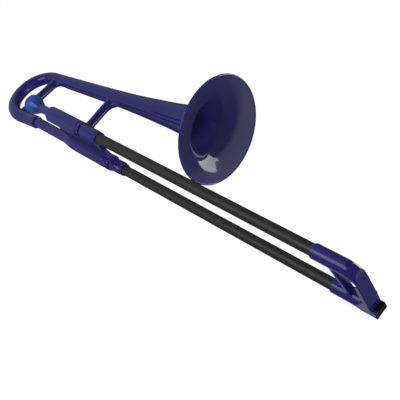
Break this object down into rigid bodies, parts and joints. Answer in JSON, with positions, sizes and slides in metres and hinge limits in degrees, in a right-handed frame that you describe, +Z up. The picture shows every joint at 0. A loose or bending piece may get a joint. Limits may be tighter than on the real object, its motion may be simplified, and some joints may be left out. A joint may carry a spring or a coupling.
{
  "type": "slide trombone",
  "caption": "Moulded plastic slide trombone with a flared bell, tuning bow, telescoping hand slide, water key, lock ring and bright blue mouthpiece.",
  "frame": {"origin": "on the ground below the middle of the box that the lying instrument fills, slide closed", "axes": "+X forward along the hand slide, from mouthpiece to crook; +Z up; +Y to the side the bell leans towards"},
  "size_m": [1.0024, 0.3134, 0.2029],
  "materials": {
    "blue_plastic": "glossy dark blue",
    "clear_blue_plastic": "glossy bright blue",
    "dark_plastic": "glossy near-black blue",
    "black_tube": "satin charcoal",
    "inner_tube": "satin",
    "stocking": "polished",
    "key_metal": "satin",
    "rubber": "matt"
  },
  "bodies": {
    "slide_inner": {"mouthpiece_receiver": "blue_plastic", "lead_pipe": "inner_tube", "fixed_hand_brace": "blue_plastic", "bell_receiver_barrel": "blue_plastic", "inner_tube_upper": "inner_tube", "inner_tube_lower": "inner_tube", "stocking_upper": "stocking", "stocking_lower": "stocking", "cushion_rings": "rubber"},
    "mouthpiece": {"mouthpiece": "clear_blue_plastic"},
    "slide_lock": {"slide_lock_ring": "dark_plastic"},
    "outer_slide": {"outer_tube_upper": "black_tube", "outer_tube_lower": "black_tube", "outer_slide_brace": "blue_plastic", "end_crook": "blue_plastic", "crook_web": "blue_plastic", "bumper": "rubber", "water_key_seat": "key_metal", "water_key_bracket": "key_metal", "water_key_pin": "key_metal", "water_key_spring": "key_metal"},
    "water_key": {"water_key_lever": "key_metal", "water_key_pad": "rubber"},
    "bell_section": {"bell_flare": "blue_plastic", "bell_stem": "blue_plastic", "front_bell_brace": "blue_plastic", "gooseneck": "blue_plastic", "bell_collar": "blue_plastic", "tenon_oring": "rubber"},
    "tuning_slide": {"tuning_bow": "blue_plastic", "tuning_slide_brace": "blue_plastic", "tuning_inner_leg": "inner_tube", "tuning_orings": "rubber"}
  },
  "joints": [
    {"name": "hand_slide", "type": "slide", "parent": "slide_inner", "child": "outer_slide", "axis": [1, 0, -0.0042], "range_m": [0, 0.52]},
    {"name": "mouthpiece_pull", "type": "slide", "parent": "slide_inner", "child": "mouthpiece", "axis": [-1, 0, 0.0042], "range_m": [0, 0.03]},
    {"name": "slide_lock_turn", "type": "hinge", "parent": "slide_inner", "child": "slide_lock", "pos_m": [-0.10888, -0.13839, 0.07556], "axis": [1, 0, -0.0042], "range_deg": [-20, 0]},
    {"name": "water_key_press", "type": "hinge", "parent": "outer_slide", "child": "water_key", "pos_m": [0.45691, -0.06778, 0.02445], "axis": [0.003, -0.6898, 0.724], "range_deg": [0, 10], "stiffness_Nm_per_rad": 0.12, "springref_deg": -8.59},
    {"name": "bell_swivel", "type": "hinge", "parent": "slide_inner", "child": "bell_section", "pos_m": [-0.19514, -0.08045, 0.0151], "axis": [1, 0, -0.0042], "range_deg": [-25, 25]},
    {"name": "tuning_slide_pull", "type": "slide", "parent": "bell_section", "child": "tuning_slide", "axis": [-0.9957, -0.0798, -0.0471], "range_m": [0, 0.035]}
  ]
}
